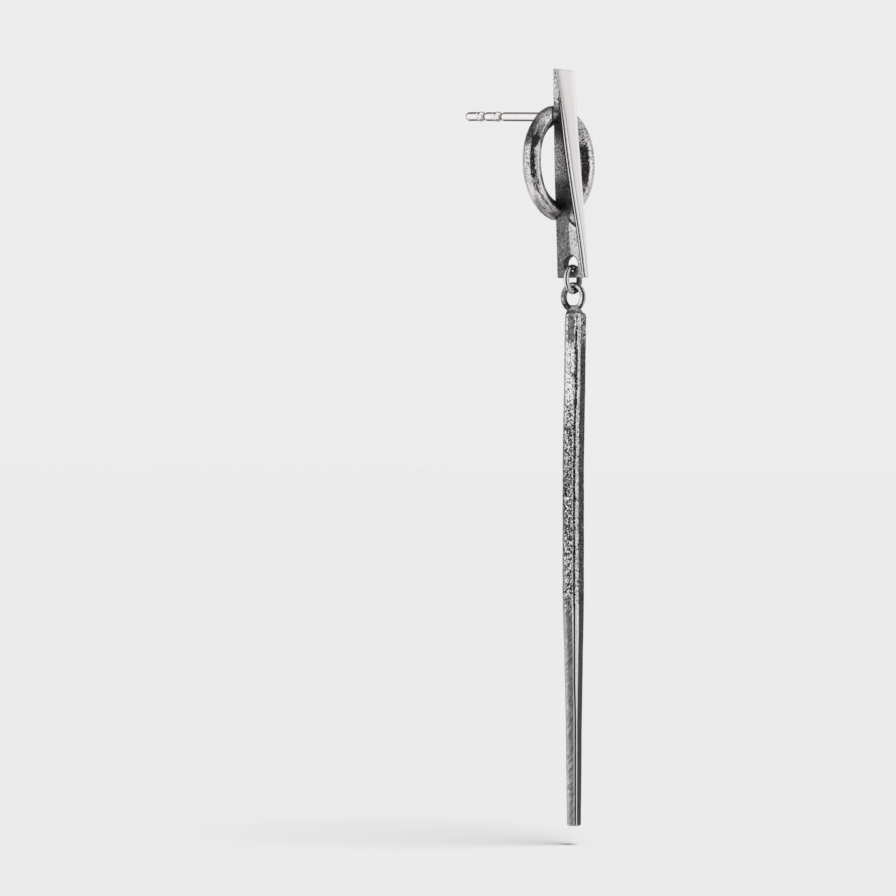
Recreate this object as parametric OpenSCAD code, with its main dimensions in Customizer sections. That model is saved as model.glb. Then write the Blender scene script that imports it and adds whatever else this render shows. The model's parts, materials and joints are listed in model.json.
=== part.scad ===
// Long drop earring in darkened silver.
// A tapering wedge with a round ring and an ear post soldered to its back,
// a jump ring through the wedge's foot, and a long bar that hangs from it by an eye.
// All lengths are millimetres. The wearer's front is -Y, and Z is up.
// The origin is on the post's axis at the ring's back, where the ear lobe sits.
// From there the post runs back along Y and rises a little.

/* [Wedge] */
// Height of the wedge
wedge_len = 20.8; // [19:0.1:24]
// How far the wedge stands above the post's axis
wedge_rise = 4.64; // [3:0.1:6]
// Width of the front face at the top
wedge_top_w = 3.32; // [2.6:0.1:4.2]
// Width of the front face at the foot
wedge_foot_w = 0.82; // [0.7:0.02:0.86]
// Thickness, front to back, at the top
wedge_top_t = 0.4; // [0.3:0.05:0.8]
// Thickness, front to back, at the foot
wedge_foot_t = 3.25; // [2.9:0.05:3.6]
// Bevel along the front edges at the top
bevel_top = 0.08; // [0.04:0.01:0.15]
// Bevel along the front edges at the foot
bevel_foot = 0.3; // [0.15:0.01:0.34]

/* [Ring] */
// Outer diameter of the ring
ring_od = 11.4; // [10.5:0.1:12]
// Width of the ring's band, from inside to outside
ring_band = 1.75; // [1.3:0.05:1.9]
// Depth of the ring, front to back
ring_t = 2; // [1.6:0.1:2.2]
// How far the ring's centre lies below the post's axis
ring_drop = 4.65; // [4.2:0.01:4.8]
// How far the wedge's back lies in front of the ring's back, at the wedge's top
proud_top = 1.31; // [1:0.01:1.4]
// The same at the wedge's foot, since the wedge leans a little to the front
proud_foot = 1.05; // [0.9:0.01:1.4]

/* [Ear post] */
// Diameter of the post
post_d = 0.9; // [0.8:0.05:1]
// Length of the post behind the ring
post_len = 10.2; // [9.5:0.1:12]
// How many degrees the post rises towards its tip, which keeps a heavy drop upright on the lobe
post_tilt = 2.7; // [0:0.1:5]
// Distance of the first groove from the tip
groove_first = 2.38; // [2.1:0.02:2.8]
// Distance between the two grooves
groove_step = 2.08; // [1.8:0.02:2.4]

/* [Links] */
// Diameter of the wire of both links
wire_d = 0.57; // [0.5:0.01:0.58]
// Outer diameter of both links
link_od = 2.96; // [2.94:0.01:3.1]
// Diameter of the hole in the wedge's foot
hole_d = 1.62; // [1.5:0.02:1.7]
// Metal left between the hole and the foot
hole_web = 0.57; // [0.5:0.01:0.6]
// Distance from the wedge's back at its foot to the hole's centre
hole_in = 1.61; // [1.4:0.01:1.8]
// Air left between a link's wire and what it hooks on
link_gap = 0.05; // [0.04:0.01:0.08]

/* [Bar] */
// Length of the bar below its eye
bar_len = 51.2; // [40:0.1:60]
// Width of the bar over its upper part
bar_w = 1.99; // [1.8:0.01:2.2]
// Width of the bar at its foot
bar_foot_w = 1.2; // [1.1:0.01:1.5]
// How far the bar's top leans to the front
bar_lean = 0.28; // [0:0.02:0.3]
// How far its foot leans to the front
foot_lean = 0.08; // [0:0.01:0.1]
// Width of the seams along the two front corners
seam_w = 0.14; // [0.1:0.01:0.18]
// Depth of those seams
seam_deep = 0.16; // [0.1:0.01:0.2]

/* [Hidden] */
$fn = 96;

// The wedge: heights, then its half width, back, front face and bevel at any height
wedge_top = wedge_rise;
wedge_foot = wedge_rise - wedge_len;
function down(z) = (wedge_top - z) / wedge_len;
function mix(a, b, t) = a + (b - a) * t;
function wedge_half(z) = mix(wedge_top_w, wedge_foot_w, down(z)) / 2;
function wedge_rear(z) = -mix(proud_top, proud_foot, down(z));
function wedge_front(z) = wedge_rear(z) - mix(wedge_top_t, wedge_foot_t, down(z));
function wedge_bevel(z) = mix(bevel_top, bevel_foot, down(z));
// Distance of a front bevel's plane from the Z axis, square to the bevel
function bevel_far(z) = (wedge_half(z) - wedge_front(z) - wedge_bevel(z)) / sqrt(2);
spare = 2;

// The ring's section, as radius and depth from its back
ring_r = ring_od / 2;
ring_in = ring_r - ring_band;
crest_r = ring_in + 0.56 * ring_band;
ring_section = [
    [ring_in + 0.28 * ring_band, 0],
    [ring_in, 0.25 * ring_t],
    [ring_in, 0.62 * ring_t],
    [crest_r, ring_t],
    [crest_r + 0.06 * ring_band, ring_t],
    [ring_r, 0.6 * ring_t],
    [ring_r, 0.25 * ring_t],
    [ring_r - 0.28 * ring_band, 0]
];
ring_mid = [ring_r - ring_band / 2, ring_t / 2];
solder_grow = 1.1;
solder_run = 0.35;
function grown(points, centre, k) = [for (p = points) centre + (p - centre) * k];

// The post: a bullet tip, and a bead and a groove at each place where the clutch clicks
post_r = post_d / 2;
post_root = 0.7;
// The solder round the post's root is a cone: its radius at the root and its end behind the ring
root_r = post_r + 0.28;
root_end = 0.12;
tip_len = 0.55;
bead_r = post_r + 0.03;
groove_r = post_r - 0.08;
// The wire swells a little from each bead to the next groove
swell = 0.005;
function tip_arc(steps) = [
    for (i = [0 : steps]) [
        post_r * cos(90 * i / steps),
        post_len - tip_len + tip_len * sin(90 * i / steps)
    ]
];
// One groove from the post's root side to its tip side, centred at y
function groove(y) = [
    [post_r, y - 0.14],
    [groove_r, y],
    [bead_r, y + 0.42],
    [post_r - 0.04, y + 0.72],
    [post_r - swell, y + 0.82]
];

// The links: each hangs on the one above with link_gap between the metals
link_r = (link_od - wire_d) / 2;
link_in = link_r - wire_d / 2;
hole_y = -proud_foot - hole_in;
hole_foot = wedge_foot + hole_web;
hole_z = hole_foot + hole_d / 2;
web_half = wedge_half(hole_foot);
jump_z = hole_foot - sqrt(pow(link_in - link_gap, 2) - pow(web_half, 2));
crossing_z = jump_z - link_r;
eye_z = crossing_z + wire_d + link_gap - link_r;

// The bar: rows of share of the length from the top, half width, corner bevel and lean
bar_top = eye_z - link_od / 2 - 0.08;
bar_half = bar_w / 2;
foot_half = bar_foot_w / 2;
top_round = 0.3;
foot_round = 0.2;
bar_rows = [
    [0, bar_half - 0.03 - top_round, 0.44, bar_lean],
    [top_round / bar_len, bar_half - 0.03, 0.5, bar_lean],
    [0.3, bar_half, 0.56, 0],
    [0.56, bar_half, 0.56, 0],
    [0.67, bar_half - 0.16, 0.4, 0.5 * foot_lean],
    [0.8, mix(foot_half, bar_half, 0.24), 0.28, 0.75 * foot_lean],
    [1 - foot_round / bar_len, foot_half, 0.25, foot_lean],
    [1, foot_half - foot_round, 0.17, foot_lean]
];
function row_z(row) = bar_top - row[0] * bar_len;
// Distance of the bar's flat sides and of its corner bevels from its middle line
flat_far = function(row) row[1];
corner_far = function(row) (2 * row[1] - row[2]) / sqrt(2);
// The lean moves an outline by lean_x: in full from the side, by cos 45 along a diagonal
lean_side = -1;
lean_diagonal = cos(45);
// An outline that goes down one side of the bar and up the other
function outline(far, lean_x) = concat(
    [for (row = bar_rows) [far(row) + lean_x * row[3], row_z(row)]],
    [for (row = reversed(bar_rows)) [-far(row) + lean_x * row[3], row_z(row)]]
);
// A seam's slot: down outside the corner and up along its floor
function slot(far, lean_x) = concat(
    [for (row = bar_rows) [far(row) + lean_x * row[3] + bar_w, row_z(row)]],
    [for (row = reversed(bar_rows)) [far(row) + lean_x * row[3] - seam_deep, row_z(row)]]
);
function reversed(rows) = [for (i = [len(rows) - 1 : -1 : 0]) rows[i]];

// Stands a flat outline up, so that its x runs along the compass angle a and its y along Z
module upright(a, depth) {
    rotate([90, 0, a])
        linear_extrude(height = depth, center = true)
            children();
}

// A ring of round wire about Y
module link() {
    rotate([90, 0, 0])
        rotate_extrude()
            translate([link_r, 0])
                circle(d = wire_d);
}

// The wedge seen from the side, cut by its front outline and its two bevels
module wedge() {
    z_hi = wedge_top + spare;
    z_lo = wedge_foot - spare;
    difference() {
        intersection() {
            upright(90, wedge_top_w + spare)
                polygon([
                    [wedge_rear(wedge_top), wedge_top],
                    [wedge_front(wedge_top), wedge_top],
                    [wedge_front(wedge_foot), wedge_foot],
                    [wedge_rear(wedge_foot), wedge_foot]
                ]);
            upright(0, 4 * wedge_foot_t)
                polygon([
                    [-wedge_half(z_hi), z_hi],
                    [wedge_half(z_hi), z_hi],
                    [wedge_half(z_lo), z_lo],
                    [-wedge_half(z_lo), z_lo]
                ]);
            for (a = [-45, -135])
                upright(a, 6 * wedge_foot_t)
                    polygon([
                        [-wedge_len, z_hi],
                        [bevel_far(z_hi), z_hi],
                        [bevel_far(z_lo), z_lo],
                        [-wedge_len, z_lo]
                    ]);
        }
        translate([0, hole_y, hole_z])
            rotate([0, 90, 0])
                cylinder(d = hole_d, h = wedge_top_w, center = true);
    }
}

// Turns a section of radius and depth about the ring's axis, through half_angle each side of start
module ring_arc(section, start, half_angle) {
    translate([0, 0, -ring_drop])
        rotate([90, 0, 0])
            rotate([0, 0, start - half_angle])
                rotate_extrude(angle = 2 * half_angle)
                    polygon(section);
}

module round_ring() {
    translate([0, 0, -ring_drop])
        rotate([90, 0, 0])
            rotate_extrude()
                polygon(ring_section);
}

// A sleeve of solder round the ring where it enters the wedge, above and below
module solder_sleeves() {
    fat = grown(ring_section, ring_mid, solder_grow);
    above = -ring_drop + ring_mid[0];
    below = -ring_drop - ring_mid[0];
    ring_arc(fat, 90, asin((wedge_half(above) + solder_run) / ring_mid[0]));
    ring_arc(fat, 270, asin((wedge_half(below) + solder_run) / ring_mid[0]));
}

module ear_post() {
    root = [[0, -post_root], [root_r, -post_root], [post_r, root_end]];
    grooves = concat(
        groove(post_len - groove_first - groove_step),
        groove(post_len - groove_first)
    );
    rotate([post_tilt - 90, 0, 0])
        rotate_extrude()
            polygon(concat(root, grooves, tip_arc(6)));
}

// Wedge, ring and post are soldered, so they are one solid
module ear_stud() {
    color("lightgray")
        union() {
            wedge();
            round_ring();
            solder_sleeves();
            ear_post();
        }
}

module jump_ring() {
    color("silver")
        translate([0, hole_y, jump_z])
            link();
}

// The long bar: a square with bevelled corners, tapering to its foot, with a seam down each front corner
module bar() {
    translate([0, hole_y, 0])
        difference() {
            intersection() {
                upright(90, 2 * bar_w)
                    polygon(outline(flat_far, lean_side));
                upright(0, 3 * bar_w)
                    polygon(outline(flat_far, 0));
                for (a = [-45, -135])
                    upright(a, 4 * bar_w)
                        polygon(outline(corner_far, lean_diagonal));
            }
            for (a = [-45, -135])
                upright(a, seam_w)
                    polygon(slot(corner_far, lean_diagonal));
        }
}

// The solder that spreads from the eye over the bar's top
module eye_foot() {
    foot_h = 0.42;
    translate([0, hole_y, bar_top - 0.1])
        cylinder(r1 = 0.92 * (bar_half - top_round), r2 = 0.4 * bar_half, h = foot_h);
}

// Eye, solder and bar are one solid
module drop_bar() {
    color("darkgray")
        union() {
            bar();
            eye_foot();
            translate([0, hole_y, eye_z])
                rotate([0, 0, 90])
                    link();
        }
}

ear_stud();
jump_ring();
drop_bar();
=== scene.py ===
# %% [markdown]
# This lesson dresses a long drop earring of darkened silver. A plain construction model of it
# comes first and fixes every size and place. The pieces made here then stand in for it.
# Silver jewellery of this kind is cast and filed, blackened all over in a sulphur bath, and rubbed
# back with a polishing cloth. The black stays where the cloth can't reach. So each piece below gets
# its form, then its relief, and from these a number at every vertex that says how bright it was
# rubbed. In places, painted light and shade are added to that number. One family of materials reads that
# number.

# %% Load the frame and read the sizes off it
import json
import math

import bpy
import numpy as np
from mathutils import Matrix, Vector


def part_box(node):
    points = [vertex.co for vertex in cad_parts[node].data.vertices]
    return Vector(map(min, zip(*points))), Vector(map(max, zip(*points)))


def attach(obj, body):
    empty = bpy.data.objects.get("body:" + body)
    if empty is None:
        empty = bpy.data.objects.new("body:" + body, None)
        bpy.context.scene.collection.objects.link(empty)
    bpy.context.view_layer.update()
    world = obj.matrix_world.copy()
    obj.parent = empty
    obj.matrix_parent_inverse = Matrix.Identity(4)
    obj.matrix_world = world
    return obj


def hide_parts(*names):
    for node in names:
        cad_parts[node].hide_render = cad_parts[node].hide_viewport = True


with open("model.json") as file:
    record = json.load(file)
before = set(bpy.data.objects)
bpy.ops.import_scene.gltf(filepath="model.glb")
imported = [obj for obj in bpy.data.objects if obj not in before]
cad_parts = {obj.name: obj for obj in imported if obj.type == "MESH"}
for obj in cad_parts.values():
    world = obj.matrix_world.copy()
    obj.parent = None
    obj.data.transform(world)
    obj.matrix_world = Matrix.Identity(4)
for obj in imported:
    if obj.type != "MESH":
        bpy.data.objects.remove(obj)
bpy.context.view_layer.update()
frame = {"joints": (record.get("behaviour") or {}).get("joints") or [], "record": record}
MM = 0.001  # one millimetre in metres: the formulas below are in millimetres


def node_box(node):
    """The lowest and highest corner of a node of the construction model, in millimetres."""
    low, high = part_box(node)
    return np.array(low) / MM, np.array(high) / MM


stud_low, stud_high = node_box("ear_stud")
link_low, link_high = node_box("jump_ring")
drop_low = node_box("drop_bar")[0]
joint_at = {joint["name"]: np.array(joint["pos_m"]) / MM for joint in frame["joints"]}
print("the earring is", round(stud_high[2] - drop_low[2], 2), "mm high")

# %% [markdown]
# Cast and blackened metal is never even. Its relief and its stains come from clouds of random
# values: a lattice of random numbers, blended smoothly between its points. Blender's own noise
# lives in materials, where it can't move a vertex, so a small one is written here. The same seed
# gives the same earring on every run. What isn't random follows a few simple curves: steps, bells
# and broken lines.

# %% Clouds and pits
lattice = np.random.default_rng(11).random((32, 32, 32))


def smooth(start, end, x):
    """0 before start and 1 after end, with 3t^2 - 2t^3 in between."""
    t = np.clip((x - start) / (end - start), 0, 1)
    return t * t * (3 - 2 * t)


def bump(x, width):
    """A bell curve: 1 at x = 0 and nearly 0 past two widths."""
    return np.exp(-((x / width) ** 2))


def follow(x, line):
    """The height at x of a broken line, which is given by its corners as pairs (x, height)."""
    return np.interp(x, *np.transpose(line))


def look_up(cell, shift=0):
    """The lattice's random value at whole-numbered cells, with the lattice repeating."""
    i, j, k = np.moveaxis((cell + shift) % len(lattice), -1, 0)
    return lattice[i, j, k]


def cloud(points, grain, seed=0):
    """Random values from 0 to 1 in blobs about one grain wide. A point takes the mean of its
    lattice cell's eight corners, each weighted by its nearness along the three axes."""
    place = points / grain + 5.37 * seed
    cell = np.floor(place).astype(int)
    t = smooth(0, 1, place - cell)
    return sum(
        np.where(corner, t, 1 - t).prod(axis=-1) * look_up(cell, np.array(corner))
        for corner in np.ndindex(2, 2, 2)
    )


def clouds(points, grain, seed=0, layers=3):
    """Clouds on clouds, each layer half as large and half as strong, scaled back to 0 to 1."""
    total = sum(cloud(points, grain / 2**n, seed + n) / 2**n for n in range(layers))
    return total / (2 - 2 / 2**layers)


def pits(points, spacing, size, seed=0):
    """How deep a point lies in a scatter of round pits, from 0 to 1. Each lattice cell holds one
    pit at a random place; the depth falls from 1 at its middle to 0 at size from it."""
    place = points / spacing + 3.71 * seed
    cell = np.floor(place).astype(int)
    nearest = np.full(place.shape[:-1], 9.0)
    for step in np.ndindex(3, 3, 3):
        home = cell + np.array(step) - 1
        middle = home + np.stack([look_up(home, 7 * axis + seed) for axis in (1, 2, 3)], axis=-1)
        nearest = np.minimum(nearest, ((place - middle) ** 2).sum(axis=-1))
    return 1 - smooth(0, size / spacing, np.sqrt(nearest))


print("clouds from", lattice.size, "random values")

# %% [markdown]
# Every piece is a grid of points: rows along the piece, columns round it. A helper turns such a
# grid into a closed mesh. It joins neighbours by quads, the last column to the first, and closes
# the ends by a fan of triangles, or the last row to the first on a ring. A mesh that came out
# inside out has a negative volume, so the helper measures the volume and turns the faces over.

# %% From a grid of points to a closed mesh
def add(name, data):
    """Puts a mesh, a camera or a lamp into the scene as an object."""
    made = bpy.data.objects.new(name, data)
    bpy.context.scene.collection.objects.link(made)
    return made


def tell(mesh, word, values):
    """Stores one number at each vertex under a name, for a material to read."""
    attribute = mesh.attributes.new(word, "FLOAT", "POINT")
    attribute.data.foreach_set("value", np.clip(values, 0, 1).astype(np.float32))


# what every vertex says about its finish, unless a piece gives its own numbers: how bright it was
# rubbed, with painted light and shade added in places, how far it was polished, how coarse its
# grain is, how deep its small hollows are and how far its grain is drawn out into the marks of a file
FINISH = {"bright": 0.5, "polish": 0.0, "coarse": 0.25, "hollow": 0.0, "filed": 0.0}


def skin(name, grid, ring=False, **numbers):
    """A mesh object from a grid (rows, columns, 3) in millimetres. numbers holds grids of one value
    a point, named as in FINISH, which become attributes of the mesh."""
    rows, columns = grid.shape[:2]
    index = np.arange(rows * columns).reshape(rows, columns)
    lower = np.roll(index, -1, axis=0) if ring else index[1:]
    upper = index if ring else index[:-1]
    quads = np.stack([upper, np.roll(upper, -1, 1), np.roll(lower, -1, 1), lower], axis=-1)
    quads = quads.reshape(-1, 4)
    points = grid.reshape(-1, 3)
    fans = np.zeros((0, 3), int)
    if not ring:
        points = np.vstack([points, grid[0].mean(0), grid[-1].mean(0)])
        first, last = (np.full(columns, rows * columns + n) for n in (0, 1))
        head = np.stack([first, np.roll(index[0], -1), index[0]], axis=-1)
        foot = np.stack([last, index[-1], np.roll(index[-1], -1)], axis=-1)
        fans = np.vstack([head, foot])
    triangles = np.vstack([quads[:, :3], quads[:, [0, 2, 3]], fans])
    a, b, c = (points[triangles[:, n]] for n in range(3))
    if np.einsum("ij,ij->", a, np.cross(b, c)) < 0:
        quads, fans = quads[:, ::-1], fans[:, ::-1]
    mesh = bpy.data.meshes.new(name)
    mesh.vertices.add(len(points))
    mesh.vertices.foreach_set("co", (points * MM).ravel())
    mesh.loops.add(quads.size + fans.size)
    mesh.loops.foreach_set("vertex_index", np.concatenate([quads.ravel(), fans.ravel()]))
    mesh.polygons.add(len(quads) + len(fans))
    sizes = np.repeat([4, 3], [len(quads), len(fans)])
    mesh.polygons.foreach_set("loop_start", np.cumsum(sizes) - sizes)
    mesh.polygons.foreach_set("use_smooth", np.ones(len(sizes), bool))
    mesh.update(calc_edges=True)
    mesh.validate()
    for word, plain in FINISH.items():
        values = np.broadcast_to(numbers.get(word, plain), (rows, columns))
        ends = [] if ring else [values[0].mean(), values[-1].mean()]
        tell(mesh, word, np.append(values.ravel(), ends))
    print(name, len(triangles), "triangles")
    return add(name, mesh)


# %% [markdown]
# The wedge and the bar are both filed from stock with flat sides and softened corners, and the
# ring's band has such a section too. So one helper draws a polygon with an arc at each corner,
# for many sections at once. It also returns the outward direction at each point, which is where
# relief pushes the metal.

# %% A section with rounded corners
def section(corners, radius, straights, bend=4):
    """Outlines of anticlockwise polygons, corners as (rows, corners, 2), each corner rounded by an
    arc that touches both its sides, of one radius or of a radius for each corner. straights is the
    number of points inside each side, from corner to corner, and bend the number of steps in an
    arc. Returns points and outward normals."""
    radius = np.broadcast_to(radius, corners.shape[1])
    side = np.roll(corners, -1, axis=1) - corners
    along = side / np.linalg.norm(side, axis=-1, keepdims=True)
    before = np.roll(along, 1, axis=1)
    cross = before[..., 0] * along[..., 1] - before[..., 1] * along[..., 0]
    turn = np.arctan2(cross, (before * along).sum(axis=-1))
    reach = (radius * np.tan(turn / 2))[..., None]
    start, end = corners - before * reach, corners + along * reach
    out = np.stack([before[..., 1], -before[..., 0]], axis=-1)
    middle = start - out * radius[:, None]
    points, normals = [], []
    for n, straight in enumerate(straights):
        angle = turn[:, n, None] * np.linspace(0, 1, bend + 1)
        x, y = out[:, n, None, 0], out[:, n, None, 1]
        swung = [x * np.cos(angle) - y * np.sin(angle), x * np.sin(angle) + y * np.cos(angle)]
        ray = np.stack(swung, axis=-1)
        points.append(middle[:, n, None] + radius[n] * ray)
        normals.append(ray)
        share = (np.arange(straight) + 1)[None, :, None] / (straight + 1)
        goal = start[:, (n + 1) % len(straights), None]
        points.append(end[:, n, None] * (1 - share) + goal * share)
        normals.append(np.repeat(ray[:, -1:], straight, axis=1))
    return np.concatenate(points, axis=1), np.concatenate(normals, axis=1)


# %% [markdown]
# A filed bar ends in a flat face with a softened rim. The next helper carries a section down a
# list of heights and closes both ends that way, so that no end is left sharp or open.

# %% A section carried down a bar
def carry(corners, heights, radius, straights, round_top, round_foot, cap=6, bend=4):
    """Carries a section down its heights. corners is a function of the height. The rim at each end
    is a quarter circle: inset r(1 - sin a) at r(1 - cos a) from the end. The flat cap shrinks the
    last outline to its middle. Returns the grid, the outward directions, and for each row how far
    it has gone round the rim: 0 on the sides and 1 on the caps."""
    a = np.linspace(0, np.pi / 2, bend + 1)
    inset = 1 - np.sin(a)
    down, up = heights[0] - round_top * (1 - np.cos(a)), heights[-1] + round_foot * (1 - np.cos(a))
    body = heights[(heights < down[-1] - 0.01) & (heights > up[-1] + 0.01)]
    z = np.concatenate([down, body, up[::-1]])
    flat = np.zeros(len(body))
    outline, out = section(corners(z), radius, straights)
    push = np.concatenate([round_top * inset, flat, round_foot * inset[::-1]])
    outline = outline - out * push[:, None, None]
    grow = np.linspace(0.02, 1, cap)[:-1, None, None]
    middles = outline.mean(axis=1, keepdims=True)
    head = middles[:1] + (outline[:1] - middles[:1]) * grow
    foot = middles[-1:] + (outline[-1:] - middles[-1:]) * grow[::-1]
    outline = np.concatenate([head, outline, foot])
    out = np.concatenate([out[:1] * grow, out, out[-1:] * grow[::-1]])
    ends = np.ones(cap - 1)
    z = np.concatenate([ends * z[0], z, ends * z[-1]])
    rim = np.concatenate([ends, inset, flat, inset[::-1], ends])
    tall = np.broadcast_to(z[:, None], outline.shape[:2])
    grid = np.dstack([outline, tall])
    return grid, np.dstack([out, np.zeros_like(tall)]), rim[:, None]


# %% [markdown]
# Materials are trees of shader nodes. Written out node by node they are long and hard to read, so
# a small class stands for one output socket and lets Python's own operators add the Math nodes.
# One method adds any other kind of node.

# %% Shader arithmetic
class Wire:
    """An output socket of a node tree. Sums and products of wires add Math nodes to the tree."""

    def __init__(self, tree, socket=None):
        self.tree = tree
        self.socket = socket

    def node(self, kind, settings=None, values=None, output=0):
        """Adds a node: first its settings, such as an operation or a ramp's stops, then the
        values or wires of its sockets. Returns one of its outputs as a wire."""
        made = self.tree.nodes.new(kind)
        for name, value in (settings or {}).items():
            if name == "stops":
                self.set_stops(made.color_ramp, value)
            else:
                setattr(made, name, value)
        for name, value in (values or {}).items():
            if isinstance(value, Wire):
                self.tree.links.new(value.socket, made.inputs[name])
            else:
                made.inputs[name].default_value = value
        return Wire(self.tree, made.outputs[output])

    @staticmethod
    def set_stops(ramp, stops):
        """Gives a ramp its stops, as pairs of a place and a grey value."""
        while len(ramp.elements) < len(stops):
            ramp.elements.new(1)
        for element, (place, grey) in zip(ramp.elements, stops):
            element.position = place
            element.color = (grey, grey, grey, 1)

    def math(self, operation, *values):
        """Adds a Math node with this wire as its first value."""
        return self.node("ShaderNodeMath", {"operation": operation}, dict(enumerate((self, *values))))

    def __add__(self, other):
        return self.math("ADD", other)

    def __sub__(self, other):
        return self.math("SUBTRACT", other)

    def __mul__(self, other):
        return self.math("MULTIPLY", other)

    def __rsub__(self, other):
        return self.node("ShaderNodeMath", {"operation": "SUBTRACT"}, {0: other, 1: self})

    __radd__ = __add__
    __rmul__ = __mul__

    def between(self, start, end, low=0.0, high=1.0):
        """Eases from low at start to high at end."""
        ends = {"From Min": start, "From Max": end, "To Min": low, "To Max": high}
        return self.node(
            "ShaderNodeMapRange", {"interpolation_type": "SMOOTHSTEP"}, {"Value": self, **ends}
        )

    def blend(self, low, high):
        """Mixes two colours by this wire. The Mix node's colours are its sockets 6 and 7."""
        return self.node("ShaderNodeMix", {"data_type": "RGBA"}, {0: self, 6: low, 7: high}, output=2)


# %% [markdown]
# The finish is one recipe with a few driving values. Sulphur turns silver nearly black, and it lies
# as a dull skin. Rubbed silver is almost white and shiny. The vertex number "bright" says which of
# the two shows, a grain frays the border between them by as much as "coarse" says, and "polish"
# marks what has been taken to a mirror. "hollow" lets small round holes keep their black, and
# "filed" draws the grain out into file marks. The grain reads Object coordinates, so it doesn't
# stretch. Only base colour, roughness and normal vary.

# %% The silver finish
OXIDE = (0.024, 0.0225, 0.022, 1)
DULL = (0.22, 0.216, 0.214, 1)
SILVER = (0.91, 0.885, 0.875, 1)
BLACK_ROUGH, BRIGHT_ROUGH, MIRROR_ROUGH = 0.46, 0.26, 0.1
FRAY = 6.0  # how far the coarsest grain moves the border between black and bright


def silver(name, grain, dent, stretch=(1, 1, 1), tilt=0.0):
    """Darkened silver. grain is the width of its grain and dent its depth, in millimetres. The
    marks of a file are the same grain, drawn out by stretch and leaned by tilt."""
    material = bpy.data.materials.new(name)
    material.use_nodes = True
    tree = material.node_tree
    shader = tree.nodes["Principled BSDF"]
    start = Wire(tree)
    place = start.node("ShaderNodeTexCoord", output="Object")
    leaned = place.node("ShaderNodeMapping", values={"Vector": place, "Rotation": (tilt, 0, 0)})
    drawn = place.node("ShaderNodeMapping", values={"Vector": leaned, "Scale": stretch})
    speck = {"Scale": 1 / (grain * MM), "Detail": 2.0, "Roughness": 0.6}
    noise = place.node("ShaderNodeTexNoise", values={"Vector": place, **speck})
    marks = place.node("ShaderNodeTexNoise", values={"Vector": drawn, **speck})
    cells = {"Vector": place, "Scale": 0.55 / (grain * MM)}
    hole = place.node("ShaderNodeTexVoronoi", values=cells).between(0.42, 0.2)
    numbers = {}
    for word in FINISH:
        numbers[word] = start.node("ShaderNodeAttribute", {"attribute_name": word}, output="Fac")
    polish = numbers["polish"]
    noise = noise + (marks - noise) * numbers["filed"]
    hole = hole * numbers["hollow"]
    rubbed = numbers["bright"] + (noise - 0.5) * numbers["coarse"] * FRAY - hole
    colour = rubbed.between(0.0, 0.5).blend(OXIDE, DULL)
    colour = rubbed.between(0.35, 0.95).blend(colour, SILVER)
    shine = rubbed.between(0.1, 1.0, BLACK_ROUGH, BRIGHT_ROUGH)
    roughness = shine - polish * (shine - MIRROR_ROUGH)
    calm = 1 - polish * 0.9  # a mirror keeps a tenth of the grain's relief
    heights = {"Height": noise * calm - hole, "Distance": dent * MM, "Strength": 1.0}
    normal = noise.node("ShaderNodeBump", values=heights)
    for wire, socket in ((colour, "Base Color"), (roughness, "Roughness"), (normal, "Normal")):
        tree.links.new(wire.socket, shader.inputs[socket])
    shader.inputs["Metallic"].default_value = 1.0
    return material


def dress(piece, material, body):
    """Gives a piece its material, the body that it moves with and the slot of its finish."""
    piece.data.materials.append(material)
    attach(piece, body)


satin = silver("satin_silver", grain=0.11, dent=0.018)
print("oxide, dull and bright silver:", OXIDE[:3], DULL[:3], SILVER[:3])

# %% [markdown]
# The wedge is the front of the stud: wide and as thin as a card at the top, narrow and deep at the
# foot, like a wedge seen from the side. Its front is polished and ever so slightly domed, its
# front edges carry a bevel with a fine line cut along it, and its sides are left satin and dark.
# It could be a cube with moved corners, but the dome, the line and the soft edges need rows of
# points, so it is a rounded section carried down the height.

# %% Sizes of the wedge
wedge_top, wedge_foot = stud_high[2], stud_low[2]
top_depth, foot_depth = 0.4, 3.25
top_half, foot_half = 1.66, 0.41
top_bevel, foot_bevel = 0.12, 0.34
wedge_back = stud_low[1] + foot_depth
wedge_lean = 0.26  # how much further forward the back stands at the top than at the foot
wedge_round, wedge_rims = 0.035, (0.03, 0.12)  # radius of its long edges, and of its top and foot rims
wedge_steps = (30, 12, 38, 16, 26, 16)  # points on each side of its section


def wedge_sizes(z):
    """Half width, depth, bevel and place of the back of the wedge at a height, with t from 0 at the
    top to 1 at the foot. The back runs evenly. The front swells by 0.9t - 0.8t^2, and where a file
    took it down again in the middle it is also a little wider."""
    t = (wedge_top - z) / (wedge_top - wedge_foot)
    filed_away = bump(t - 0.5, 0.27)
    half = top_half + (foot_half - top_half) * t + 0.1 * filed_away
    depth = top_depth + (foot_depth - top_depth) * t + 0.9 * t - 0.8 * t**2 - 0.14 * filed_away
    bevel = top_bevel + (foot_bevel - top_bevel) * smooth(0, 0.4, t)
    return half, depth, bevel, wedge_back - wedge_lean * (1 - t)


def wedge_corners(z):
    """The wedge's section at each height, anticlockwise from above: a box with a bevelled front."""
    half, depth, bevel, back = wedge_sizes(z)
    front = back - depth
    x = [half, half, -half, -half, bevel - half, half - bevel]
    y = [front + bevel, back, back, front + bevel, front, front]
    return np.stack([np.stack(x, axis=-1), np.stack(y, axis=-1)], axis=-1)


wedge_heights = np.linspace(wedge_top, wedge_foot, 330)
grid, out, rim = carry(wedge_corners, wedge_heights, wedge_round, wedge_steps, *wedge_rims)
print("the wedge's grid is", grid.shape)

# %% [markdown]
# Now the relief of the wedge. The front is domed by a few hundredths of a millimetre, because a
# polishing wheel always rounds a face. That small dome is what spreads a soft gradient over it.
# The bevel gets its fine line, and beside it another runs down the side. Low on each side a second,
# flatter facet was filed towards the front, and it starts with a small scooped notch. Each of these
# is a number from 0 to 1 on the grid, times its own depth.

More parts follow.
